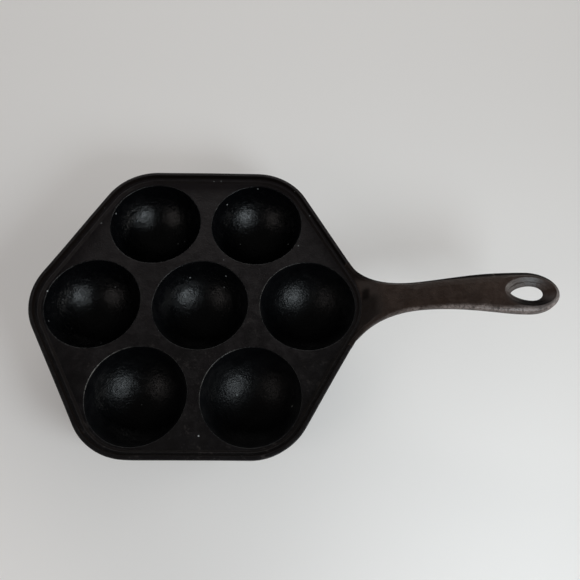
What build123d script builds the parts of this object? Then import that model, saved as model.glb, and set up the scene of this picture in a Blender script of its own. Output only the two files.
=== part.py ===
from build123d import *
import math
import os

# Aebleskiver pan, millimetres. The origin is the centre of the hexagon on the plane that the pan
# stands on, +Z is up and +X runs out along the handle. The real pan is one casting. Each node is
# one region of it, and neighbouring regions meet face to face.

# Wells, six on a ring about the seventh, and the cups that hang round them
well_radius = 28.0
brim_radius = 0.6
well_gap = 6.3
cup_wall = 4.0
foot_radius = 6.0
ring_well_names = ("right", "rear_right", "rear_left", "left", "front_left", "front_right")

# Deck between the wells, with webs that join neighbouring cups
deck_thickness = 4.0
deck_margin = 0.6
web_width = 14.0
web_drop = 7.0

# Raised rim, from its outline inwards, and the wall under it
rim_rise = 4.3
edge_bevel = 0.8
lip_width = 2.6
step_run = 0.4
ledge_width = 1.9
ledge_rise = 1.9
slope_run = 1.3
wall_draft_degrees = 8.0

# Handle: the neck spreads from the rim, the grip climbs and widens, the eye is level
neck_root_width = 54.0
neck_root_thickness = 9.0
neck_length = 28.1
waist_width = 16.8
waist_thickness = 6.6
grip_length = 41.0
climb_length = 72.6
climb_start = 6.4
eye_widening_length = 18.0
eye_thickness = 7.6
handle_rise = 19.8
top_bevel_width = 3.0
top_bevel_drop = 1.4
low_bevel_width = 3.0
low_bevel_drop = 2.2
panel_width = 22.0
panel_run = 8.0
neck_stations = 7
grip_stations = 6

# Hanging hole: an egg shape, its long end towards the pan, at the bottom of a dish in each face
hole_length = 17.2
hole_half_width = 4.2
hole_widest_from_end = 6.3
dish_length = 28.6
dish_half_width = 8.7
dish_widest_from_end = 12.7
dish_start = 4.4
dish_to_hole = 4.9
tip_rim = 3.4
side_rim = 3.6

# Worked out from the sizes above
ring_count = len(ring_well_names)
mouth_radius = well_radius + brim_radius
cup_radius = well_radius + cup_wall
well_pitch = 2 * mouth_radius + well_gap
ball_height = math.sqrt(cup_radius**2 - foot_radius**2)
deck_top = ball_height + brim_radius
deck_underside = deck_top - deck_thickness
rim_top = deck_top + rim_rise
ledge_top = deck_top + ledge_rise
rim_width = lip_width + step_run + ledge_width + slope_run
corner_radius = mouth_radius + deck_margin + rim_width
apothem = well_pitch * math.cos(math.pi / ring_count) + corner_radius
skirt_foot = ball_height - math.sqrt(cup_radius**2 - (corner_radius - rim_width) ** 2)
draft = math.tan(math.radians(wall_draft_degrees))
corner_x = well_pitch + corner_radius
waist_x = corner_x + neck_length
grip_end_x = waist_x + grip_length
eye_widest_x = grip_end_x + eye_widening_length
eye_half_width = dish_half_width + side_rim
dish_start_x = grip_end_x + dish_start
hole_start_x = dish_start_x + dish_to_hole
handle_tip_x = dish_start_x + dish_length + tip_rim
handle_top = rim_top + handle_rise


def well_centres():
    """Centre of each well by name: one in the middle and the others on a ring about it."""
    centres = {"centre": Vector(0, 0)}
    for index, name in enumerate(ring_well_names):
        turn = Rotation(0, 0, index * 360 / ring_count)
        centres[name] = (turn * Pos(well_pitch)).position
    return centres


def hexagon(inset, height):
    """Rounded hexagon inside the pan's outline, its corners concentric with the ring's wells."""
    outline = RegularPolygon(apothem - inset, ring_count, major_radius=False)
    return Pos(0, 0, height) * fillet(outline.vertices(), corner_radius - inset)


def hexagon_block(low_inset, low, high_inset, high):
    """Solid between two rounded hexagons, one above the other."""
    return loft([hexagon(low_inset, low), hexagon(high_inset, high)])


def cup(centre):
    """Half ball with a well in it, a rounded brim and a ground flat for a foot."""
    ball = Pos(0, ball_height)
    shell = ball * Circle(cup_radius) - ball * Circle(well_radius)
    below_ball = Rectangle(mouth_radius, ball_height, align=Align.MIN)
    above_ball = ball * Rectangle(mouth_radius, brim_radius, align=Align.MIN)
    brim = Pos(mouth_radius, ball_height) * Circle(brim_radius)
    section = (shell & below_ball) + (brim & above_ball)
    return Pos(centre) * revolve(Plane.XZ * section, Axis.Z)


def webs(centres):
    """Blocks under the deck that close the clefts between neighbouring cups."""
    length = well_pitch - 2 * well_radius
    height = deck_thickness + web_drop
    block = Box(length, web_width, height, align=(Align.CENTER, Align.CENTER, Align.MAX))
    ring = [centres[name] for name in ring_well_names]
    pairs = [(centres["centre"], outer) for outer in ring]
    pairs += list(zip(ring, ring[1:] + ring[:1]))
    placed = []
    for first, second in pairs:
        middle = (first + second) / 2
        turn = math.degrees(math.atan2(second.Y - first.Y, second.X - first.X))
        placed.append(Pos(middle.X, middle.Y, deck_top) * Rotation(0, 0, turn) * block)
    return placed


def deck(centres):
    """Flat top between the wells, with the upper outsides of the cups and the webs under it."""
    body = hexagon_block(rim_width, deck_underside, rim_width, deck_top)
    collars = [Pos(centre.X, centre.Y, ball_height) * Sphere(cup_radius) for centre in centres.values()]
    body = body + collars + webs(centres)
    body = body & hexagon_block(rim_width, skirt_foot, rim_width, deck_top)
    for centre in centres.values():
        column = Cylinder(mouth_radius, deck_top, align=(Align.CENTER, Align.CENTER, Align.MIN))
        body = body - Pos(centre) * column
    return body


def ring():
    """Drafted wall all round, the raised lip on it, and the step, ledge and slope down inside."""
    lip_foot = rim_top - edge_bevel
    wall = hexagon_block((lip_foot - skirt_foot) * draft, skirt_foot, 0, lip_foot)
    lip = hexagon_block(0, lip_foot, edge_bevel, rim_top)
    middle = hexagon_block(rim_width, skirt_foot, rim_width, deck_top)
    slope = hexagon_block(rim_width, deck_top, rim_width - slope_run, ledge_top)
    step = hexagon_block(lip_width + step_run, ledge_top, lip_width, rim_top)
    return wall + lip - middle - slope - step


def handle_height(x):
    """Top of the handle: level with the rim at the root, then an eased climb to the eye."""
    share = (x - corner_x + climb_start) / climb_length
    return rim_top + handle_rise * math.sin(math.pi / 2 * min(max(share, 0), 1))


def handle_section(x, half_width, thickness, ease):
    """Flat above and below across the handle at x, its bevels growing from the rim's with ease."""
    top = handle_height(x)
    bottom = top - thickness
    top_width, top_drop, low_width, low_drop = (
        edge_bevel + (full - edge_bevel) * ease
        for full in (top_bevel_width, top_bevel_drop, low_bevel_width, low_bevel_drop)
    )
    side = [
        (half_width - top_width, top),
        (half_width, top - top_drop),
        (half_width, bottom + low_drop),
        (half_width - low_width, bottom),
    ]
    other_side = [(-y, z) for y, z in reversed(side)]
    return Plane.YZ.offset(x) * make_face(Polyline(*side, *other_side, close=True))


def flat_x(half_width):
    """Where the rim's flat beside the handle lies, at a distance from the middle line."""
    lean = math.pi / ring_count
    return (apothem - half_width * math.sin(lean)) / math.cos(lean)


def neck_cell():
    """Space past the lip's inner line, at the handle's corner, that the neck takes from the rim."""
    start = flat_x(neck_root_width / 2)
    height = neck_root_thickness + handle_rise
    block = Box(waist_x - start, 2 * apothem, height, align=(Align.MIN, Align.CENTER, Align.MIN))
    inside_lip = hexagon_block(lip_width, skirt_foot, lip_width, handle_top)
    return Pos(start, 0, rim_top - neck_root_thickness) * block - inside_lip


def panel_foot():
    """Space over the foot of the handle's panel, which climbs from the ledge between the flanks."""
    foot, head = corner_x - lip_width, corner_x - lip_width + panel_run
    side = Polyline(
        (foot - rim_width, ledge_top),
        (foot, ledge_top),
        (head, handle_height(head)),
        (head, handle_top),
        (foot - rim_width, handle_top),
        close=True,
    )
    return extrude(Plane.XZ * make_face(side), panel_width / 2, both=True)


def neck():
    """Root of the handle: its flanks leave the rim's flats in curves and narrow to the waist."""
    root_half, waist_half = neck_root_width / 2, waist_width / 2
    sections = []
    for index in range(neck_stations):
        share = index / (neck_stations - 1)
        rest = 1 - share
        x = flat_x(root_half) * rest**2 + 2 * flat_x(waist_half) * share * rest + waist_x * share**2
        half_width = waist_half + (root_half - waist_half) * rest**2
        thickness = waist_thickness + (neck_root_thickness - waist_thickness) * rest**2
        sections.append(handle_section(x, half_width, thickness, 1 - rest**2))
    return (loft(sections) & neck_cell()) - panel_foot()


def grip_half_width(x):
    """Half the handle's width past the waist, eased out to the widest place of the eye."""
    share = (x - waist_x) / (eye_widest_x - waist_x)
    return waist_width / 2 + (eye_half_width - waist_width / 2) * (1 - math.cos(math.pi * share)) / 2


def grip():
    """Middle of the handle, from the waist to the level eye."""
    sections = []
    for index in range(grip_stations):
        share = index / (grip_stations - 1)
        x = waist_x + grip_length * share
        thickness = waist_thickness + (eye_thickness - waist_thickness) * share
        sections.append(handle_section(x, grip_half_width(x), thickness, 1))
    return loft(sections)


def egg(start_x, length, widest_from_end, half_width, height):
    """Two half ellipses that meet where the shape is widest, the longer one towards the pan."""
    widest = (start_x + length - widest_from_end, 0)
    long_half = EllipticalCenterArc(widest, length - widest_from_end, half_width, 90, arc_size=180)
    short_half = EllipticalCenterArc(widest, widest_from_end, half_width, -90, arc_size=180)
    return Pos(0, 0, height) * make_face([long_half, short_half])


def eye():
    """Level end of the handle, with the hanging hole dished from above and below."""
    start, widest = Vector(grip_end_x, grip_half_width(grip_end_x)), Vector(eye_widest_x, eye_half_width)
    reach = handle_tip_x - eye_widest_x
    flank = Spline(start, widest, tangents=[(grip_length, start.Y - waist_width / 2), (grip_length, 0)])
    tip = EllipticalCenterArc((eye_widest_x, 0), reach, eye_half_width, -90, arc_size=180)
    across = Line(start, (start.X, -start.Y))
    outline = make_face([flank, tip, mirror(flank, Plane.XZ), across])
    body = extrude(Pos(0, 0, handle_top - eye_thickness) * outline, eye_thickness)
    for face, width, drop in (
        (body.faces().sort_by(Axis.Z)[-1], top_bevel_width, top_bevel_drop),
        (body.faces().sort_by(Axis.Z)[0], low_bevel_width, low_bevel_drop),
    ):
        edges = face.edges().sort_by(Axis.X)[1:]
        body = chamfer(edges, width, drop, reference=face)
    middle = handle_top - eye_thickness / 2
    hole = egg(hole_start_x, hole_length, hole_widest_from_end, hole_half_width, middle)
    for height in (handle_top, handle_top - eye_thickness):
        dish = egg(dish_start_x, dish_length, dish_widest_from_end, dish_half_width, height)
        body = body - loft(sorted([dish, hole], key=lambda face: face.center().Z))
    return body


def build():
    """Each region of the casting by the name of its node."""
    centres = well_centres()
    nodes = {f"well_cup_{name}": cup(centre) for name, centre in centres.items()}
    nodes["deck_plate"] = deck(centres)
    nodes["rim_wall"] = ring() - neck_cell()
    nodes["handle_neck"] = neck()
    nodes["handle_grip"] = grip()
    nodes["handle_eye"] = eye()
    return nodes


os.makedirs("parts", exist_ok=True)
for node, shape in build().items():
    export_step(shape, f"parts/{node}.step")
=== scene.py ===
import math

import bmesh
import bpy
import numpy as np
from mathutils import Euler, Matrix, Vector


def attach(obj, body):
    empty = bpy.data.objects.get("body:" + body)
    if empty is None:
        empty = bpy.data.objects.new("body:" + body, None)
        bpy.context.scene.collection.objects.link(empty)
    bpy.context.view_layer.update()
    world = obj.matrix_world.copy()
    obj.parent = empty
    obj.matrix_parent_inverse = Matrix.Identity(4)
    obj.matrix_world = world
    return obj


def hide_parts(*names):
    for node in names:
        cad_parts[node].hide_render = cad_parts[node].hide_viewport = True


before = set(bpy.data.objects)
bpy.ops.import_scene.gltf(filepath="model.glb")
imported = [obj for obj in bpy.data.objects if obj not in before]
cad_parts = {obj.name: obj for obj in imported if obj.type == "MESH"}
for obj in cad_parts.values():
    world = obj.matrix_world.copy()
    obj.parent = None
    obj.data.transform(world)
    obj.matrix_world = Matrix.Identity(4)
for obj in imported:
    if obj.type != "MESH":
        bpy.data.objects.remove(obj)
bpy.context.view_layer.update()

# Wells: seven half-round bowls of cast iron, about 4 mm thick, that hang under the deck. In the real
# pan they are cast in one piece with it, rounded over at the mouth and ground flat below to stand on.
# The skin of each is pitted by the sand of the mould, and baked oil has turned it black.

well_radius, brim_radius, cup_radius, foot_radius = 28.2, 0.4, 32.0, 6.0
well_pitch = 63.5
mouth_radius = well_radius + brim_radius
ball_height = math.sqrt(cup_radius**2 - foot_radius**2)
deck_above_balls = 0.6
deck_top = ball_height + deck_above_balls
bowl_height = deck_top - brim_radius
turn_steps, ball_steps, brim_steps, bowl_steps = 144, 26, 7, 46
pits_deep, pits_per_metre = 0.11, 310.0
# Bearing of the painted highlight on each well's brim.
brim_highlight_bearing = 145
welding_distance = 2e-6
ring_wells = ("right", "rear_right", "rear_left", "left", "front_left", "front_right")
well_places = {"centre": (0.0, 0.0)}
for index, name in enumerate(ring_wells):
    turn = math.radians(60 * index)
    well_places[name] = (well_pitch * math.cos(turn), well_pitch * math.sin(turn))


class Wire:
    """One socket in a node tree. Sums on wires add Math nodes, and node() adds any other node."""

    def __init__(self, tree, socket=None):
        self.tree, self.socket = tree, socket

    def node(self, kind, settings=(), sockets=(), output=0):
        made = self.tree.nodes.new(kind)
        for key, value in dict(settings).items():
            setattr(made, key, value)
        for key, value in dict(sockets).items():
            for one in value if isinstance(value, list) else [value]:
                if isinstance(one, Wire):
                    self.tree.links.new(one.socket, made.inputs[key])
                else:
                    made.inputs[key].default_value = one
        return Wire(self.tree, made.outputs[output])

    def out(self, name):
        return Wire(self.tree, self.socket.node.outputs[name])

    def maths(self, operation, first, second=0.0):
        return self.node("ShaderNodeMath", {"operation": operation}, {0: first, 1: second})

    def __add__(self, other):
        return self.maths("ADD", self, other)

    def __sub__(self, other):
        return self.maths("SUBTRACT", self, other)

    def __rsub__(self, other):
        return self.maths("SUBTRACT", other, self)

    def __mul__(self, other):
        return self.maths("MULTIPLY", self, other)

    def __truediv__(self, other):
        return self.maths("DIVIDE", self, other)

    __radd__, __rmul__ = __add__, __mul__


def well_cup_tree():
    """Geometry nodes for one cup: each arc of its section is a grid bent round the well's axis."""
    tree = bpy.data.node_groups.new("well_cup", "GeometryNodeTree")
    radii = ("Well radius", "Cup radius", "Mouth radius", "Brim radius", "Foot radius")
    numbers = (*radii, "Ball height", "Bowl height", "Pit depth", "Pit scale", "Brim highlight")
    kinds = {name: "NodeSocketFloat" for name in numbers}
    kinds |= {"Place": "NodeSocketVector", "Turn steps": "NodeSocketInt", "Iron": "NodeSocketMaterial"}
    for name, kind in kinds.items():
        tree.interface.new_socket(name, in_out="INPUT", socket_type=kind)
    tree.interface.new_socket("Cup", in_out="OUTPUT", socket_type="NodeSocketGeometry")
    sockets = tree.nodes.new("NodeGroupInput").outputs
    start = Wire(tree)
    well, cup, mouth, brim, foot, height, bowl, pit_depth, pit_scale, brim_highlight_level, place, turns, iron = (
        Wire(tree, sockets[name]) for name in kinds
    )

    def wave(operation, angle):
        return angle.node("ShaderNodeMath", {"operation": operation}, {0: angle})

    def arc(middle_reach, middle_height, radius, first, last):
        def section(share):
            angle = share * (last - first) + first
            return (
                middle_reach + radius * wave("SINE", angle),
                middle_height - radius * wave("COSINE", angle),
            )

        return section

    def straight(first_reach, first_height, last_reach, last_height):
        def section(share):
            reach = share * (last_reach - first_reach) + first_reach
            return reach, share * (last_height - first_height) + first_height

        return section

    def brim_highlight_share(angle):
        """The brim carries a painted highlight on its far left side, and none at all opposite."""
        level = wave("COSINE", angle - math.radians(brim_highlight_bearing)) * 1.6 - 0.6
        return level.node("ShaderNodeClamp", (), {"Value": level}) * brim_highlight_level

    def around(reach, level, angle):
        """The place at a reach from the well's axis and a height, turned round the axis by an angle."""
        sides = {"X": reach * wave("COSINE", angle), "Y": reach * wave("SINE", angle), "Z": level}
        return angle.node("ShaderNodeCombineXYZ", (), sides)

    def dents(skin, ends):
        """How far the cast skin is dented in or out, fading away where ends falls to 0."""
        skin = skin.node("ShaderNodeVectorMath", {"operation": "ADD"}, {0: skin, 1: place})
        grains = skin.node("ShaderNodeTexNoise", (), {"Vector": skin, "Scale": pit_scale, "Detail": 1.5})
        return (grains - 0.5) * pit_depth * ends.node("ShaderNodeClamp", (), {"Value": ends})

    def band(section, steps, middle, rubbed_and_lit=False, pitted=0.0):
        """A grid whose one side follows the section and whose other side goes round the axis."""
        sizes = {"Size X": 1.0, "Size Y": 1.0, "Vertices X": turns + 1, "Vertices Y": steps}
        grid = start.node("GeometryNodeMeshGrid", (), sizes)
        spot = start.node("GeometryNodeInputPosition")
        across = spot.node("ShaderNodeSeparateXYZ", (), {0: spot})
        share = across.out("Y") + 0.5
        angle = (across + 0.5) * math.tau
        reach, level = section(share)
        if pitted:
            ends = share * (1.0 - share) * 8.0 if pitted < 0 else share * 6.0
            scale = 1.0 + dents(around(reach, level, angle), ends) * pitted / cup
            reach, level = reach * scale, middle + (level - middle) * scale
        wear = {"Geometry": grid, "Name": "wear", "Value": brim_highlight_share(angle) if rubbed_and_lit else 0.0}
        worn_and_lit = grid.node("GeometryNodeStoreNamedAttribute", {"data_type": "FLOAT"}, wear)
        bent = around(reach, level, angle)
        return worn_and_lit.node("GeometryNodeSetPosition", (), {"Geometry": worn_and_lit, "Position": bent})

    ground = wave("ARCSINE", foot / cup)
    collar = wave("ARCSINE", mouth / cup)
    collar_height = height - cup * wave("COSINE", collar)
    nought = foot * 0.0
    half_turn = nought + math.pi
    bands = [
        band(straight(nought, nought, foot, nought), 4, height),
        band(arc(nought, height, cup, ground, collar), ball_steps, height, pitted=-1.0),
        band(straight(mouth, collar_height, mouth, bowl + brim), 2, height),
        band(arc(mouth, bowl, brim, half_turn, nought + 1.5 * math.pi), brim_steps, bowl, rubbed_and_lit=True),
        band(arc(nought, bowl, well, nought + math.pi / 2, nought), bowl_steps, bowl, pitted=1.0),
    ]
    joined = start.node("GeometryNodeJoinGeometry", (), {0: bands})
    welded = {"Geometry": joined, "Distance": welding_distance}
    joined = joined.node("GeometryNodeMergeByDistance", (), welded)
    point = start.node("GeometryNodePoints", (), {"Count": 1, "Position": place})
    placed = point.node("GeometryNodeInstanceOnPoints", (), {"Points": point, "Instance": joined})
    real = placed.node("GeometryNodeRealizeInstances", (), {"Geometry": placed})
    done = real.node("GeometryNodeSetMaterial", (), {"Geometry": real, "Material": iron})
    tree.links.new(done.socket, tree.nodes.new("NodeGroupOutput").inputs["Cup"])
    return tree


def seasoned_iron(
    name, dark, light, worn_and_lit, roughness, worn_roughness, grain, sheen, dust=0.0, rear_lightening=0.0, dull=0.0
):
    """Cast iron under baked oil: mottled colour, worn edges, soot, and the grain of the sand mould.

    The attribute it reads is above 0 on rubbed iron and on painted highlights, and below 0 on soot
    and on painted shade. With the setting for the rear the colour is painted lighter towards the rear,
    and with dull the gloss is less towards the front and right.
    """
    soot_and_shade_colour, dust_colour = (0.0036, 0.0019, 0.0013), (0.22, 0.23, 0.23)
    iron = bpy.data.materials.new(name)
    iron.use_nodes = True
    tree = iron.node_tree
    start = Wire(tree)
    spot = start.node("ShaderNodeTexCoord").out("Object")

    def noise(scale, detail, rough=0.5):
        sockets = {"Vector": spot, "Scale": scale, "Detail": detail, "Roughness": rough}
        return spot.node("ShaderNodeTexNoise", (), sockets)

    def between(level, low, high):
        sockets = {"Value": level, "From Min": low, "From Max": high}
        return level.node("ShaderNodeMapRange", {"interpolation_type": "SMOOTHSTEP"}, sockets)

    def blend(share, first, second):
        sockets = {0: share, 6: first if isinstance(first, Wire) else (*first, 1.0)}
        sockets[7] = second if isinstance(second, Wire) else (*second, 1.0)
        return share.node("ShaderNodeMix", {"data_type": "RGBA"}, sockets, output=2)

    clouds = between(noise(34.0, 3.0), 0.36, 0.64)
    blotches = between(noise(150.0, 5.0, 0.65), 0.40, 0.66)
    wear = start.node("ShaderNodeAttribute", {"attribute_name": "wear"}).out("Fac")
    rubbed_and_lit = wear * (between(noise(620.0, 3.0, 0.6), 0.32, 0.60) * 0.62 + 0.38) * (blotches * 0.5 + 0.5)
    soot_and_shade = between(wear, -0.05, -0.9)
    place = spot.node("ShaderNodeSeparateXYZ", (), {0: spot})
    # Painted light: the colour is lighter towards the rear.
    rear = place.out("Y") * rear_lightening
    speckle = between(noise(900.0, 3.0, 0.7), 0.30, 0.70)
    colour = blend(clouds * 0.25 + blotches * 0.3 + speckle * 0.3 + rear + 0.075, dark, light)
    if rear_lightening:
        scuffs = between(noise(110.0, 6.0, 0.8), 0.57, 0.64) * (0.45 - rear)
        colour = blend(scuffs, colour, worn_and_lit)
    # Rubbed iron and painted highlights take the worn colour, and soot and painted shade take the soot
    # colour.
    colour = blend(between(rubbed_and_lit, 0.0, 1.0), colour, worn_and_lit)
    colour = blend(soot_and_shade, colour, soot_and_shade_colour)
    surface = tree.nodes["Principled BSDF"]
    if dust:
        specks = spot.node("ShaderNodeTexVoronoi", (), {"Vector": spot, "Scale": 130.0})
        rare = between(noise(61.0, 1.0), 0.52, 0.57)
        speck = between(specks, 0.078, 0.05) * rare * dust
        colour = blend(speck, colour, dust_colour)
    tree.links.new(colour.socket, surface.inputs["Base Color"])
    gloss = blotches * 0.10 + (roughness - 0.05) + rubbed_and_lit * (worn_roughness - roughness) + soot_and_shade * 0.35
    if dull:
        gloss = gloss + (place.out("X") * 0.5 - place.out("Y")) * dull
    tree.links.new(gloss.socket, surface.inputs["Roughness"])
    # Soot and painted shade hardly shine, and neither does a near-black metal, so the metal share rises
    # with them.
    tree.links.new((soot_and_shade * 0.72).socket, surface.inputs["Metallic"])
    pits = noise(900.0, 2.0, 0.6) + noise(2600.0, 1.0) * 0.35 + noise(260.0, 1.0) * 1.2
    bump = pits.node("ShaderNodeBump", (), {"Strength": 1.0, "Distance": grain / 1000, "Height": pits})
    tree.links.new(bump.socket, surface.inputs["Normal"])
    surface.inputs["Specular IOR Level"].default_value = sheen
    return iron


def warp(points):
    """The slight unevenness of a hand-rammed sand mould, in millimetres, none of it at the feet."""
    x, y, z = points.T
    lift = 0.11 * np.sin(x / 15.3 + 1.1) * np.cos(y / 18.7) + 0.06 * np.sin(x / 7.9 + y / 11.3)
    aside = 0.12 * np.sin(x / 21.1 + y / 13.9 + 0.7)
    along = 0.10 * np.cos(y / 12.7 + 0.4) * np.sin(x / 26.3)
    return points + np.stack([along, aside, lift * np.clip(z / deck_top, 0, 1)], axis=1)


def set_in_pan(mesh, piece_name, node, iron):
    """Welds a region's mesh into one closed skin and puts it in the place of its node."""
    places = np.empty(len(mesh.vertices) * 3)
    mesh.vertices.foreach_get("co", places)
    mesh.vertices.foreach_set("co", (warp(places.reshape(-1, 3) * 1000) / 1000).ravel())
    shell = bmesh.new()
    shell.from_mesh(mesh)
    bmesh.ops.remove_doubles(shell, verts=shell.verts, dist=welding_distance)
    bmesh.ops.recalc_face_normals(shell, faces=shell.faces)
    for face in shell.faces:
        face.smooth = True
    open_edges = sum(not edge.is_manifold for edge in shell.edges)
    print(piece_name, "faces", len(shell.faces), "open edges", open_edges)
    shell.to_mesh(mesh)
    shell.free()
    mesh.set_sharp_from_angle(angle=math.radians(40))
    mesh.materials.clear()
    mesh.materials.append(iron)
    mesh.name = piece_name
    piece = bpy.data.objects.new(piece_name, mesh)
    bpy.context.scene.collection.objects.link(piece)
    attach(piece, "root")
    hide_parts(node)


well_iron = seasoned_iron(
    "well_iron",
    dark=(0.0008, 0.00095, 0.0014),
    light=(0.0017, 0.0018, 0.0021),
    worn_and_lit=(0.110, 0.105, 0.098),
    roughness=0.33,
    worn_roughness=0.38,
    grain=0.23,
    sheen=0.245,
    dust=1.0,
    dull=1.1,
)
cup_tree = well_cup_tree()
# How strongly each well's brim is painted with a highlight on its far left side, the front wells most.
well_brim_highlights = {"front_left": 0.85, "front_right": 0.7, "right": 0.5}
least_brim_highlight = 0.3
for name, (place_x, place_y) in well_places.items():
    maker = bpy.data.objects.new("cup_maker", bpy.data.meshes.new("cup_maker"))
    bpy.context.scene.collection.objects.link(maker)
    nodes = maker.modifiers.new("cup", "NODES")
    nodes.node_group = cup_tree
    given = {
        "Well radius": well_radius / 1000,
        "Cup radius": cup_radius / 1000,
        "Mouth radius": mouth_radius / 1000,
        "Brim radius": brim_radius / 1000,
        "Foot radius": foot_radius / 1000,
        "Ball height": ball_height / 1000,
        "Bowl height": bowl_height / 1000,
        "Pit depth": pits_deep / 1000,
        "Pit scale": pits_per_metre,
        "Brim highlight": well_brim_highlights.get(name, least_brim_highlight),
        "Place": (place_x / 1000, place_y / 1000, 0.0),
        "Turn steps": turn_steps,
        "Iron": well_iron,
    }
    for item in cup_tree.interface.items_tree:
        if item.in_out == "INPUT":
            nodes[item.identifier] = given[item.name]
    scene_now = bpy.context.evaluated_depsgraph_get()
    cup_mesh = bpy.data.meshes.new_from_object(maker.evaluated_get(scene_now))
    maker.modifiers.clear()
    bpy.data.objects.remove(maker)
    set_in_pan(cup_mesh, f"cast_well_{name}", f"well_cup_{name}", well_iron)

# Deck: the flat top that joins the wells, about 4 mm of iron. Underneath it the mould leaves soft
# fillets in the clefts between neighbouring cups and along the foot of the rim's wall.

deck_thickness, deck_margin, rim_width = 4.0, 0.6, 6.2
deck_underside = deck_top - deck_thickness
foot_line = mouth_radius + deck_margin
corner_radius = foot_line + rim_width
apothem = well_pitch * math.cos(math.pi / 6) + corner_radius
half_pitch = well_pitch / 2
cleft_rounding, cleft_start, fillet_depth = 2.1, 3.0, 2.8
least_rounding, wall_gap, halvings = 0.02, 0.04, 40
collar_height = ball_height - math.sqrt(cup_radius**2 - mouth_radius**2)
deck_rings = 13
# Width and strength of a painted glint on the deck along each well's mouth.
brim_glint_width, brim_glint = 0.5, 0.15
far_off = 1e9


class Skin:
    """Grids of points in millimetres that together make one closed casting, each with its wear and painted
    light.
    """

    def __init__(self):
        self.points, self.faces, self.wear, self.count = [], [], [], 0

    def grid(self, points, wear=0.0, closed=False):
        points = np.asarray(points, float)
        rows, columns = points.shape[:2]
        number = np.arange(rows * columns).reshape(rows, columns) + self.count
        if closed:
            number = np.hstack([number, number[:, :1]])
        corners = [number[:-1, :-1], number[1:, :-1], number[1:, 1:], number[:-1, 1:]]
        self.faces += np.stack(corners, axis=-1).reshape(-1, 4).tolist()
        self.keep(points.reshape(-1, 3), np.broadcast_to(np.asarray(wear, float), (rows, columns)).ravel())

    def face(self, points):
        self.faces.append(list(range(self.count, self.count + len(points))))
        self.keep(np.asarray(points, float), np.zeros(len(points)))

    def keep(self, points, wear):
        self.points.append(points)
        self.wear.append(wear)
        self.count += len(points)

    def mesh(self):
        made = bpy.data.meshes.new("casting")
        made.from_pydata((np.concatenate(self.points) / 1000).tolist(), [], self.faces)
        wear = made.attributes.new("wear", "FLOAT", "POINT")
        wear.data.foreach_set("value", np.concatenate(self.wear).astype(np.float32))
        return made


def turned(angle):
    return np.stack([np.cos(angle), np.sin(angle)], axis=-1)


def cell_edge(name):
    """Edge of a well's share of the deck: half way to each neighbour, or the foot of the rim."""
    angles = np.radians(np.arange(turn_steps) * 360 / turn_steps)
    outward = math.radians(60 * ring_wells.index(name)) if name != "centre" else 0.0
    if name == "centre":
        walls = [(math.radians(60 * k), half_pitch) for k in range(6)]
    else:
        walls = [(outward + math.pi, half_pitch)]
        walls += [(outward + side * math.radians(120), half_pitch) for side in (-1, 1)]
        walls += [(outward + side * math.radians(30), foot_line) for side in (-1, 1)]
    reach = np.full(turn_steps, far_off)
    for direction, distance in walls:
        facing = np.cos(angles - direction)
        reach = np.minimum(reach, np.where(facing > 0.05, distance / np.maximum(facing, 0.05), far_off))
    edge = turned(angles) * reach[:, None]
    if name != "centre":
        off = (angles - outward + math.pi) % math.tau - math.pi
        arc = np.abs(off) <= math.radians(30.01)
        edge[arc] = turned(angles[arc]) * foot_line
        for side in (-1, 1):
            corner_bearing = outward + side * (math.radians(30) + math.atan2(half_pitch, foot_line))
            corner = math.hypot(foot_line, half_pitch) * turned(corner_bearing)
            edge[np.argmin(np.hypot(*(edge - corner).T))] = corner
    return edge


def inside_rim(spots):
    """How far a spot lies inside the foot of the rim's wall."""
    reach = np.full(len(spots), far_off)
    for index in range(6):
        outward = math.radians(60 * index)
        for side in (-1, 1):
            facing = turned(outward + side * math.radians(30))
            reach = np.minimum(reach, apothem - rim_width - spots @ facing)
        place = well_pitch * turned(outward)
        off = spots - place
        bearing = (np.arctan2(off[:, 1], off[:, 0]) - outward + math.pi) % math.tau - math.pi
        round_it = (np.abs(bearing) < math.radians(30)) & (spots @ turned(outward) > well_pitch)
        reach = np.where(round_it, foot_line - np.hypot(*off.T), reach)
    return reach


def deck_under(spots):
    """Height of the deck's underside: plate, cups and rim wall run together in fillets."""
    places = np.array(list(well_places.values()))
    off = np.sqrt(((spots[:, None] - places[None]) ** 2).sum(-1))
    near = np.clip((off.min(1) - mouth_radius) / cleft_start, 0, 1)
    soft = least_rounding + cleft_rounding * near * near * (3 - 2 * near)
    wall = inside_rim(spots)
    low, high = np.zeros(len(spots)), np.full(len(spots), deck_underside + 1.5)
    for _ in range(halvings):
        level = (low + high) / 2
        cup_gaps = np.sqrt(off**2 + (level[:, None] - ball_height) ** 2) - cup_radius
        gaps = np.column_stack([cup_gaps, deck_underside - level, wall + wall_gap])
        nearest = gaps.min(1)
        gap = nearest - soft * np.log(np.exp(-(gaps - nearest[:, None]) / soft[:, None]).sum(1))
        low, high = np.where(gap > 0, level, low), np.where(gap > 0, high, level)
    under_cup = ball_height - np.sqrt(np.clip(cup_radius**2 - off.min(1) ** 2, 0, None))
    plain = np.where(off.min(1) < cup_radius, np.minimum(under_cup, deck_underside), deck_underside)
    filled = plain - fillet_depth * (1 - np.exp(-np.clip(plain - level, 0, None) / fillet_depth))
    return np.maximum(filled, collar_height)


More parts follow.
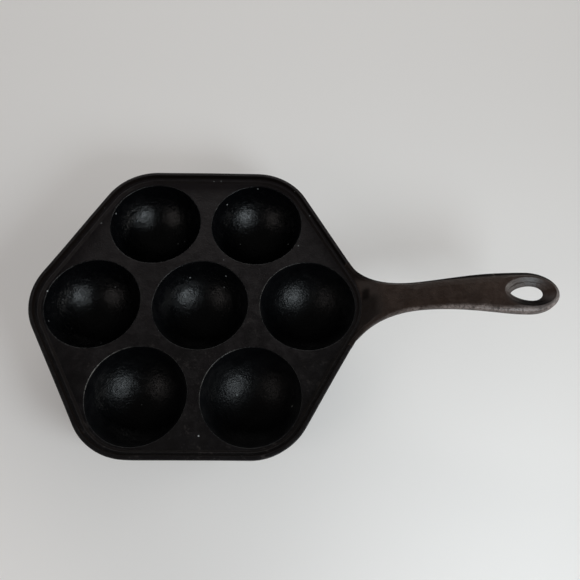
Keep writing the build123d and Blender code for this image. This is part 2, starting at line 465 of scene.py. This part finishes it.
pan_iron = seasoned_iron(
    "pan_iron",
    dark=(0.0017, 0.0010, 0.0012),
    light=(0.0096, 0.0075, 0.0079),
    worn_and_lit=(0.0180, 0.0152, 0.0145),
    roughness=0.50,
    worn_roughness=0.42,
    grain=0.2,
    sheen=0.19,
    dust=1.0,
    rear_lightening=7.5,
)
deck_skin = Skin()
shares = np.linspace(0, 1, deck_rings)[:, None, None]
for name, place in well_places.items():
    mouth = mouth_radius * turned(np.radians(np.arange(turn_steps) * 360 / turn_steps))
    edge = cell_edge(name)
    plan = mouth + (edge - mouth) * shares + np.array(place)
    top = np.concatenate([plan, np.full((*plan.shape[:2], 1), deck_top)], axis=-1)
    under = deck_under(plan.reshape(-1, 2)).reshape(plan.shape[:2])
    under[0] = collar_height
    below = np.concatenate([plan, under[..., None]], axis=-1)
    # A faint painted glint on the deck round each well's mouth.
    from_brim = shares[..., 0] * (np.hypot(*(edge - mouth).T))[None, :]
    near_brim = np.clip(1 - from_brim / brim_glint_width, 0, 1)
    deck_skin.grid(top, wear=near_brim * brim_glint, closed=True)
    deck_skin.grid(below, closed=True)
    deck_skin.grid(np.stack([top[0], below[0]]), closed=True)
    if name != "centre":
        outer = np.abs(inside_rim(plan[-1])) < 0.01
        first = int(np.argmax(outer & ~np.roll(outer, 1)))
        order = (first + np.arange(int(outer.sum()))) % turn_steps
        deck_skin.grid(np.stack([top[-1][order], below[-1][order]]))
set_in_pan(deck_skin.mesh(), "cast_deck", "deck_plate", pan_iron)

# Rim: a wall that leans out a little all round the pan, with a raised lip on top of it. Inside the
# lip a step drops to a narrow ledge, and a short slope leads down to the deck. All one casting.

rim_rise, wall_draft = 4.3, 7.5
rim_top = deck_top + rim_rise
lip_width, step_run, ledge_end, slope_end, ledge_rise = 2.35, 0.45, 4.5, 5.65, 1.9
ledge_top = deck_top + ledge_rise
wall_lean = math.tan(math.radians(wall_draft))
wall_foot = ball_height - math.sqrt(cup_radius**2 - foot_line**2)
neck_start, neck_root_steps = 3.4, 20
step_angle, half_steps = 2.5, 31
lip_swell, swell_bearing, notch_depth = 0.35, 140, 1.5


def rounded(corners, steps=4):
    """Line or surface through (points, rounding) corners, each corner but the ends a short curve."""
    rows = [corners[0][0]]
    for (before, _), (here, rounding), (after, _) in zip(corners, corners[1:], corners[2:]):
        if np.all(rounding == 0):
            rows.append(here)
            continue
        back, ahead = before - here, after - here
        back_length = np.maximum(np.linalg.norm(back, axis=-1, keepdims=True), 1e-9)
        ahead_length = np.maximum(np.linalg.norm(ahead, axis=-1, keepdims=True), 1e-9)
        first = here + back * np.minimum(rounding / back_length, 0.45)
        last = here + ahead * np.minimum(rounding / ahead_length, 0.45)
        for share in np.linspace(0, 1, steps + 1):
            rows.append(first * (1 - share) ** 2 + 2 * here * share * (1 - share) + last * share**2)
    rows.append(corners[-1][0])
    return np.stack(rows)


def rim_line():
    """Foot points and outward directions round the rim, well by well, with the steps from its axis."""
    feet, facings, wells, steps = [], [], [], []
    for index, name in enumerate(ring_wells):
        outward = math.radians(60 * index)
        place = np.array(well_places[name])
        for step in range(-half_steps, half_steps):
            off = math.radians(step_angle * step)
            lean = float(np.clip(off, -math.radians(30), math.radians(30)))
            facing = turned(outward + lean)
            along = foot_line * math.tan(off - lean)
            if step == -half_steps:
                along = -half_pitch
            side = np.array([-facing[1], facing[0]])
            feet.append(place + foot_line * facing + along * side)
            facings.append(facing)
            wells.append(index)
            steps.append(step)
    return np.array(feet), np.array(facings), np.array(wells), np.array(steps)


def wall_inset(height):
    return (rim_top - height) * wall_lean


def at_inset(feet, facings, inset):
    return feet + facings * (rim_width - inset)


section = [
    (rim_width, deck_top, 0),
    (slope_end, deck_top, 0.3),
    (ledge_end, ledge_top, 0.3),
    (neck_start, ledge_top, 0),
    (lip_width + step_run, ledge_top, 0.25),
    (lip_width, rim_top, 0.35),
    (0.0, rim_top, 0.9),
    (wall_inset(wall_foot), wall_foot, 0.8),
    (rim_width, wall_foot, 0.6),
    (rim_width, deck_top, 0),
]
section_rows = rounded([(np.array(corner[:2]), corner[2]) for corner in section])
feet, facings, wells, steps = rim_line()
under_neck = (wells == 0) & (np.abs(steps) <= neck_root_steps)
borders = np.flatnonzero((wells == 0) & (np.abs(steps) == neck_root_steps))
order = np.sort(np.concatenate([np.arange(len(feet)), borders]))
notched = under_neck[order].copy()
for border in borders:
    pair = np.flatnonzero(order == border)
    notched[pair[0] if steps[border] < 0 else pair[1]] = False
insets, heights = section_rows.T
heights = np.repeat(heights[:, None], len(order), axis=1)
lip_rows = insets < neck_start - 0.01
notch_top = np.minimum(heights, ledge_top - notch_depth)
heights = np.where(lip_rows[:, None] & notched[None], notch_top, heights)
swell = lip_swell * np.clip(facings[order] @ turned(math.radians(swell_bearing)), 0, 1)
out = insets[:, None] - swell[None] * (insets < neck_start - 0.3)[:, None]
plan = at_inset(feet[order][None], facings[order][None], out[..., None])
# Per section row: below 0, painted shade on the slope up from the deck and in the step inside the lip;
# above 0, wear and painted highlights on the ledge and the lip's edges, stronger on the north side of the
# pan.
wear_and_light_rows = [1, 3, 6, 8, 10, 11, 12, 18, 19, 21, 24, 26, 29]
wear_and_light_levels = [0, -0.5, -0.6, 0, 0.4, 0.3, -0.5, -1, -0.7, 0.3, 0.05, 0.2, 0]
row_wear_and_light = np.interp(np.arange(len(insets)), wear_and_light_rows, wear_and_light_levels)[:, None]
rim_skin = Skin()
rim_points = np.concatenate([plan, heights[..., None]], axis=-1)
rim_lit_side = 0.55 + 0.45 * facings[order][None, :, 1]
rim_skin.grid(rim_points, wear=np.maximum(row_wear_and_light, 0) * rim_lit_side + np.minimum(row_wear_and_light, 0), closed=True)
set_in_pan(rim_skin.mesh(), "cast_rim", "rim_wall", pan_iron)

# Neck: the root of the handle. The rim's lip runs on along both of its flanks as a bevel, and between
# them a flat panel climbs out of the ledge in a soft slope, with a shallow dimple at its foot.

handle_rise, climb_start, climb_length = 19.8, 6.4, 72.6
waist_half, waist_thickness, neck_root_thickness = 8.4, 6.6, 9.0
waist_reach, grip_length, eye_reach = 28.1, 41.0, 18.0
corner_x = well_pitch + corner_radius
waist_x = corner_x + waist_reach
grip_end_x = waist_x + grip_length
eye_widest_x = grip_end_x + eye_reach
eye_half, eye_thickness = 12.3, 7.6
low_bevel_width, low_bevel_drop, neck_flank_height = 3.0, 2.2, 4.4
root_fillet, root_sink = 4.5, 0.15
panel_run = 9.0
# The last of these makes the dimple's colour darker than the panel round it.
dimple_x, dimple_y, dimple_depth, dimple_darkening = 97.9, 5.9, 0.8, 0.4
across_steps, neck_steps = 2 * neck_root_steps, 40
flank_wear_rows = [5, 10, 13, 18, 22, 26]
flank_wear_levels = [0.0, 0.5, 1.0, 0.9, 0.3, 0.0]


def handle_height(x):
    share = np.clip((x - corner_x + climb_start) / climb_length, 0, 1)
    return rim_top + handle_rise * np.sin(math.pi / 2 * share)


def smooth(level):
    level = np.clip(level, 0, 1)
    return level * level * (3 - 2 * level)


def ramp(place, start, length):
    """Climbs softly from 0 to 1 over a length that begins at start."""
    return smooth((place - start) / length)


def crown_inset(x):
    """Where the flat panel ends, from the handle's outline inwards, and its sides begin to fall."""
    bar = neck_start + 1.7 * ramp(x, 110, 18) + 1.3 * ramp(x, 140, 22)
    return bar + (bevel_inset(x) + 0.15 - bar) * ramp(x, 169, 9)


def bevel_inset(x):
    """Where the bevel begins, from the handle's outline inwards."""
    bar = lip_width - 0.6 * ramp(x, 95, 15) + 1.2 * ramp(x, 135, 30)
    return bar - 0.35 * ramp(x, 182, 12) - 0.3 * ramp(x, 196, 8)


def crown_drop(x):
    """How far the sides fall from the flat panel to the bevel."""
    return 0.5 * ramp(x, 112, 14) * (1 - 0.8 * ramp(x, 169, 9))


def dimple(x, y):
    """1 in the middle of the dimple, with a steep soft edge, and 0 outside it."""
    return np.exp(-(((x - dimple_x) / 1.9) ** 4) - ((y - dimple_y) / 3.3) ** 4)


def panel_height(x, y):
    """Top of the panel: the ledge, then a slope up to the handle's own height, less the dimple."""
    lip_foot = foot_line + rim_width - lip_width - step_run
    start = well_pitch + np.sqrt(lip_foot**2 - np.minimum(np.abs(y), 16) ** 2)
    climb = 1 - (1 - np.clip((x - start) / panel_run, 0, 1)) ** 2
    return ledge_top + (handle_height(x) - ledge_top) * climb - dimple_depth * dimple(x, y)


def outside_rim(x, y):
    """How far a spot lies outside the pan's outline near the handle's corner."""
    off_x = x - well_pitch
    flats = [x * math.cos(lean) + y * math.sin(lean) for lean in (-math.pi / 6, math.pi / 6)]
    on_arc = np.abs(np.arctan2(y, off_x)) < math.pi / 6
    return np.where(on_arc, np.hypot(off_x, y) - corner_radius, np.maximum(*flats) - apothem)


def under_height(x, y, thickness):
    """Underside of the handle, which curves down to meet the rim's wall."""
    wall = wall_inset(rim_top - neck_root_thickness - root_fillet)
    near = np.clip(1 - (outside_rim(x, y) + wall + root_sink) / root_fillet, 0, 1)
    return handle_height(x) - thickness - root_fillet * (1 - np.sqrt(1 - near**2))


def flank_rows(line, facing, ease, thickness, low_width, low_drop, low_ease=1.0):
    """Rows over the side of the handle, from the panel over both bevels to the underside."""
    ease, thickness, low_width, low_drop, low_ease = (
        np.broadcast_to(np.asarray(value, float), len(line))[:, None]
        for value in (ease, thickness, low_width, low_drop, low_ease)
    )
    x = line[:, :1]
    crown, bevel, fall = crown_inset(x), bevel_inset(x), crown_drop(x)
    edge_drop = (1.5 + 0.2 * ramp(x, 165, 12)) * ease

    def row(inset, drop):
        spot = line - facing * inset
        return np.concatenate([spot, handle_height(spot[:, :1]) - drop], axis=1)

    def on_panel(inset, drop):
        spot = row(inset, 0.0)
        spot[:, 2] = panel_height(spot[:, 0], spot[:, 1]) - drop[:, 0]
        return spot

    def below(root_inset, inset):
        spot = row(root_inset + (inset - root_inset) * low_ease, 0.0)
        spot[:, 2] = under_height(spot[:, 0], spot[:, 1], thickness[:, 0])
        return spot

    foot = np.minimum(bevel + step_run, (bevel + crown) / 2)
    wall_low = wall_inset(rim_top - neck_root_thickness)
    wall_bottom = wall_inset(rim_top - neck_root_thickness - root_fillet)
    return rounded(
        [
            (on_panel(crown, 0 * fall), 0),
            (on_panel(foot, fall * (crown - foot) / (crown - bevel)), 0.25),
            (row(bevel, fall), 0.35 + 0.5 * ease),
            (row(bevel * 0.45, fall + (edge_drop - fall) * 0.4), 0.9),
            (row(0.0, edge_drop), 0.9),
            (row(wall_low * (1 - low_ease), thickness - low_drop * low_ease), 1.0),
            (below(wall_bottom, low_width), 1.2),
            (below(wall_bottom + root_sink, low_width + 0.7), 0),
        ]
    )


def mirrored(points):
    return points * np.array([1, -1, 1])


def patch(left, right, south, north, height):
    """Surface between four edge lines in plan, at the height that its spots call for."""
    u = np.linspace(0, 1, len(left))[None, :, None]
    v = np.linspace(0, 1, len(south))[:, None, None]
    plan = (1 - v) * left[None, :, :2] + v * right[None, :, :2]
    plan = plan + (1 - u) * south[:, None, :2] + u * north[:, None, :2]
    plan = plan - (1 - u) * ((1 - v) * left[0, :2] + v * right[0, :2])
    plan = plan - u * ((1 - v) * left[-1, :2] + v * right[-1, :2])
    x, y = plan[..., 0], plan[..., 1]
    made = np.concatenate([plan, height(x, y)[..., None]], axis=-1)
    made[:, 0], made[:, -1] = south, north
    return made


def root_darkening(points):
    """Darker colour where the handle springs from the pan, less of it on its crest to the north, which is
    left lighter as a painted highlight.
    """
    x, y = points[..., 0], points[..., 1]
    crest = ramp(y, 1, 5) * (1 - ramp(y, 12, 6))
    return (0.63 - 0.25 * crest) * (1 - ramp(x, 101, 10))


def side_wear_and_light(rows, line_y):
    """Wear is strongest on the upper bevel and fades out below it. The south side is lighter, partly wear
    and partly painted highlight, and the north side darker, a painted shade.
    """
    level = np.interp(np.arange(len(rows)), flank_wear_rows, flank_wear_levels)
    handle_lit_side = 0.2 - np.clip(line_y / 8.0, -0.9, 1.2)
    along = ramp(rows[0, :, 0], 92, 55) * 0.75 + 0.25 * (1 - ramp(np.abs(line_y), 15, 11))
    return level[:, None] * handle_lit_side[None] * along[None] - root_darkening(rows)


def end_cap(skin, top, bottom, north, south):
    """Hidden end of a handle region, where it meets the next one."""
    skin.grid(np.stack([top, bottom]))
    skin.face(north)
    skin.face(south)


def flat_x(half):
    """Where the flat of the hexagon lies at this distance from the handle's middle line."""
    return (apothem - half * math.sin(math.pi / 6)) / math.cos(math.pi / 6)


handle_iron = seasoned_iron(
    "handle_iron",
    dark=(0.0118, 0.0060, 0.0040),
    light=(0.0315, 0.0176, 0.0120),
    worn_and_lit=(0.165, 0.132, 0.120),
    roughness=0.46,
    worn_roughness=0.36,
    grain=0.14,
    sheen=0.32,
)
root_step = math.tan(math.radians(step_angle * neck_root_steps - 30)) * foot_line
root_half = corner_radius * math.sin(math.pi / 6) + root_step * math.cos(math.pi / 6)
share = np.linspace(0, 1, neck_steps + 1)
rest = 1 - share
line = np.stack(
    [
        flat_x(root_half) * rest**2 + 2 * flat_x(waist_half) * share * rest + waist_x * share**2,
        waist_half + (root_half - waist_half) * rest**2,
    ],
    axis=1,
)
run = np.stack(
    [
        2 * rest * (flat_x(waist_half) - flat_x(root_half)) + 2 * share * (waist_x - flat_x(waist_half)),
        -2 * rest * (root_half - waist_half),
    ],
    axis=1,
)
run /= np.linalg.norm(run, axis=1, keepdims=True)
facing = np.stack([-run[:, 1], run[:, 0]], axis=1)
thickness = waist_thickness + (neck_root_thickness - waist_thickness) * rest**2
ease = 1 - rest**2
low_width, low_drop = low_bevel_width + 2 * rest, thickness - neck_flank_height
flank = flank_rows(line, facing, ease, thickness, low_width, low_drop, smooth(share / 0.3))
corner = np.flatnonzero(under_neck)
corner = corner[np.argsort(steps[corner])]


def root_path(inset, height):
    spots = at_inset(feet[corner], facings[corner], inset)
    return np.concatenate([spots, np.full((len(spots), 1), height)], axis=1)


root_low = rim_top - neck_root_thickness - root_fillet
neck_top_root = root_path(neck_start, ledge_top)
neck_low_root = root_path(wall_inset(root_low) + root_sink, root_low)
waist_share = np.linspace(-1, 1, across_steps + 1)[:, None]


def across(north_end):
    """Straight line over the handle from a point on its south flank to the same one on the north."""
    return mirrored(north_end) + (north_end - mirrored(north_end)) * (waist_share + 1) / 2


neck_skin = Skin()
neck_top = patch(neck_top_root, across(flank[0, -1]), mirrored(flank[0]), flank[0], panel_height)
low_thickness = thickness[:, None] * np.ones(across_steps + 1)
neck_low = patch(
    neck_low_root,
    across(flank[-1, -1]),
    mirrored(flank[-1]),
    flank[-1],
    lambda x, y: under_height(x, y, low_thickness),
)
neck_x, neck_y = neck_top[..., 0], neck_top[..., 1]
neck_skin.grid(neck_top, wear=-root_darkening(neck_top) - dimple_darkening * dimple(neck_x, neck_y))
neck_skin.grid(neck_low, wear=-root_darkening(neck_low))
neck_skin.grid(flank, wear=side_wear_and_light(flank, line[:, 1]))
neck_skin.grid(mirrored(flank), wear=side_wear_and_light(flank, -line[:, 1]))
end_cap(neck_skin, neck_top[0], neck_low[0], flank[:, 0], mirrored(flank[:, 0]))
end_cap(neck_skin, neck_top[-1], neck_low[-1], flank[:, -1], mirrored(flank[:, -1]))
set_in_pan(neck_skin.mesh(), "cast_neck", "handle_neck", handle_iron)

# Grip: the middle of the handle, a bar that climbs and widens towards its end. Its flat top falls off
# gently at both sides to a bevel, with another one below, where the two halves of the mould met.

grip_columns = 33


def bar_half(x):
    """Half the bar's width, which swells from the waist to the eye."""
    share = (x - waist_x) / (eye_widest_x - waist_x)
    return waist_half + (eye_half - waist_half) * (1 - np.cos(math.pi * share)) / 2


def bar_line(x):
    """Points along the bar's north side and the directions that it faces there."""
    slope = (eye_half - waist_half) * math.pi / (eye_widest_x - waist_x) / 2
    slope = slope * np.sin(math.pi * (x - waist_x) / (eye_widest_x - waist_x))
    facing = np.stack([-slope, np.ones_like(x)], axis=1)
    return np.stack([x, bar_half(x)], axis=1), facing / np.linalg.norm(facing, axis=1, keepdims=True)


grip_x = np.linspace(waist_x, grip_end_x, grip_columns)
line, facing = bar_line(grip_x)
share = (grip_x - waist_x) / (grip_end_x - waist_x)
thickness = waist_thickness + (eye_thickness - waist_thickness) * share
flank = flank_rows(line, facing, 1.0, thickness, low_bevel_width, low_bevel_drop)
grip_skin = Skin()
grip_top = np.stack([across(point) for point in flank[0]])
grip_low = np.stack([across(point) for point in flank[-1]])
grip_skin.grid(grip_top)
grip_skin.grid(grip_low)
grip_skin.grid(flank, wear=side_wear_and_light(flank, line[:, 1]))
grip_skin.grid(mirrored(flank), wear=side_wear_and_light(flank, -line[:, 1]))
for end in (0, -1):
    end_cap(grip_skin, grip_top[end], grip_low[end], flank[:, end], mirrored(flank[:, end]))
set_in_pan(grip_skin.mesh(), "cast_grip", "handle_grip", handle_iron)

# Eye: the rounded, level end of the handle. An egg-shaped hole to hang the pan by lies at the bottom
# of a smooth dish in each face, and the bevel runs on round the tip, right up to the dish.

dish_start_x, dish_widest_x, dish_end_x, dish_half = 172.9, 187.1, 201.0, 8.65
hole_start_x, hole_widest_x, hole_end_x, hole_half = 177.4, 188.7, 195.0, 4.25
tip_x, hub_x = 204.0, 188.0
tip_reach = tip_x - eye_widest_x
eye_side_columns, tip_columns, egg_steps, dished_levels = 22, 75, 720, 21


def egg_ring(bearings, start_x, widest_x, end_x, half, point=0.0):
    """Points on an egg with its narrow end, which may be pointed, towards the pan."""
    angle = np.linspace(0, math.tau, egg_steps, endpoint=False)
    reach = np.where(np.cos(angle) > 0, end_x - widest_x, widest_x - start_x)
    narrow = np.where(np.cos(angle) < 0, np.abs(np.sin(angle)) ** point, 1.0)
    outline = np.stack([widest_x - hub_x + reach * np.cos(angle), half * narrow * np.sin(angle)], axis=1)
    angle = np.arctan2(outline[:, 1], outline[:, 0]) % math.tau
    order = np.argsort(angle)
    reach = np.interp(bearings % math.tau, angle[order], np.hypot(*outline[order].T), period=math.tau)
    return turned(bearings) * reach[:, None] + (hub_x, 0)


side_x = np.linspace(grip_end_x, eye_widest_x, eye_side_columns)[:-1]
side_line, side_facing = bar_line(side_x)
sweep = np.linspace(-math.pi / 2, math.pi / 2, tip_columns)
tip_line = turned(sweep) * (tip_reach, eye_half) + (eye_widest_x, 0)
tip_facing = turned(sweep) / (tip_reach, eye_half)
tip_facing /= np.linalg.norm(tip_facing, axis=1, keepdims=True)
line = np.concatenate([side_line * (1, -1), tip_line, side_line[::-1]])
facing = np.concatenate([side_facing * (1, -1), tip_facing, side_facing[::-1]])
past = ramp(line[:, 0], grip_end_x, 12)
low_width, low_drop = low_bevel_width - 1.3 * past, low_bevel_drop - 0.6 * past
flank = flank_rows(line, facing, 1.0, eye_thickness, low_width, low_drop)
eye_skin = Skin()
eye_skin.grid(flank, wear=side_wear_and_light(flank, line[:, 1]))
west_top, west_low = across(flank[0, -1]), across(flank[-1, -1])
top_loop = np.concatenate([flank[0], west_top[::-1][1:-1]])
low_loop = np.concatenate([flank[-1], west_low[::-1][1:-1]])
bearings = np.arctan2(top_loop[:, 1], top_loop[:, 0] - hub_x)
dish = egg_ring(bearings, dish_start_x, dish_widest_x, dish_end_x, dish_half)
hole = egg_ring(bearings, hole_start_x, hole_widest_x, hole_end_x, hole_half, 0.5)
handle_top = rim_top + handle_rise
half_thickness = eye_thickness / 2


def dish_ring(share, depth):
    """A ring a share of the way from the dish's edge to the hole, at a depth in half thicknesses."""
    spots = dish + (hole - dish) * share
    return np.concatenate([spots, np.full((len(spots), 1), handle_top - depth * half_thickness)], axis=1)


walls = rounded(
    [
        (top_loop, 0),
        (dish_ring(0.0, 0.0), 0.3),
        (dish_ring(0.45, 0.50), 0.5),
        (dish_ring(0.56, 0.54), 0.4),
        (dish_ring(1.0, 1.0), 0.45),
        (dish_ring(0.5, 1.5), 1.5),
        (dish_ring(0.0, 2.0), 0.4),
        (low_loop, 0),
    ]
)
level = np.arange(len(walls))[:, None]
# The dish's north wall is painted lighter and its south wall darker: painted highlight and painted shade.
dish_light_and_shade = np.clip(np.sin(bearings), -1.0, 0.25)[None] * ((level > 0) & (level < dished_levels))
eye_skin.grid(walls, wear=dish_light_and_shade, closed=True)
end_cap(eye_skin, west_top, west_low, flank[:, -1], flank[:, 0])
set_in_pan(eye_skin.mesh(), "cast_eye", "handle_eye", handle_iron)

# Studio: a pale table top whose far edge curls up, with a faint glow of its own. A cool lamp stands at
# the front right and a weaker warm one at the front left. Wide low lamps far off at both sides and at
# the rear fill in the rest.

table_sides = 48
table_profile = ((6.0, 0.0), (7.0, 0.4), (7.4, 3.5))
table_edge = turned(np.arange(table_sides) * math.tau / table_sides)
table_rings, table_faces = [], [tuple(range(table_sides))]
for row, (reach, height) in enumerate(table_profile):
    table_rings += [(*spot, height) for spot in (table_edge * reach).tolist()]
    for first in range(table_sides * min(row, 1)):
        following = (first + 1) % table_sides
        inner, outer = table_sides * (row - 1), table_sides * row
        table_faces.append((inner + first, outer + first, outer + following, inner + following))
floor_mesh = bpy.data.meshes.new("table_top")
floor_mesh.from_pydata(table_rings, [], table_faces)
table_top = bpy.data.objects.new("table_top", floor_mesh)
bpy.context.scene.collection.objects.link(table_top)
pale = bpy.data.materials.new("pale_table")
pale.use_nodes = True
table_paint = pale.node_tree.nodes["Principled BSDF"].inputs
table_paint["Base Color"].default_value = (0.66, 0.645, 0.632, 1.0)
table_paint["Roughness"].default_value = 0.6
table_paint["Emission Color"].default_value = (1.0, 0.985, 0.97, 1.0)
table_paint["Emission Strength"].default_value = 0.155
floor_mesh.materials.append(pale)


def lamp(name, place, target, size, power, colour):
    """An oval lamp that shines at its target and isn't itself seen by the camera."""
    light = bpy.data.lights.new(name, "AREA")
    light.shape, light.size, light.size_y = "ELLIPSE", *size
    light.energy, light.color = power, colour
    holder = bpy.data.objects.new(name, light)
    holder.location = place
    holder.rotation_euler = (Vector(target) - Vector(place)).to_track_quat("-Z", "Y").to_euler()
    holder.visible_camera = False
    bpy.context.scene.collection.objects.link(holder)


middle = (0.0, 0.0, 0.02)
past_the_pan = (-0.25, 0.25, 0.30)
lamp("front_right_lamp", (0.295, -0.267, 0.278), past_the_pan, (0.19, 0.19), 1.40, (0.86, 0.95, 1.0))
lamp("front_left_lamp", (-0.35, -0.28, 0.33), middle, (0.22, 0.22), 0.30, (1.0, 0.92, 0.89))
lamp("right_lamp", (2.9, -0.2, 0.84), middle, (4.4, 0.6), 60.0, (1.0, 1.0, 0.98))
lamp("left_lamp", (-2.9, 0.0, 0.84), middle, (4.4, 0.6), 19.0, (1.0, 0.97, 0.95))
lamp("rear_lamp", (0.0, 2.9, 1.10), middle, (4.4, 1.1), 42.0, (1.0, 0.99, 0.97))
room = bpy.data.worlds.new("room")
room.use_nodes = True
sky = room.node_tree.nodes["Background"].inputs
sky["Color"].default_value = (1.0, 0.98, 0.96, 1.0)
sky["Strength"].default_value = 0.08
bpy.context.scene.world = room
bpy.context.scene.view_settings.view_transform = "Standard"

# Camera: where the photo was taken from, above the pan and a little in front of it, looking down with
# a lens about as long as its sensor is wide.

sensor_width, lens_length = 36.0, 36.025
camera_place = (0.04836, -0.13486, 0.34853)
camera_turns = (24.537, -1.0, 0.3)
seen = bpy.data.cameras.new("photo_view")
seen.sensor_width, seen.lens = sensor_width, lens_length
camera = bpy.data.objects.new("photo_view", seen)
camera.location = camera_place
camera.rotation_euler = Euler([math.radians(angle) for angle in camera_turns])
bpy.context.scene.collection.objects.link(camera)
bpy.context.scene.camera = camera
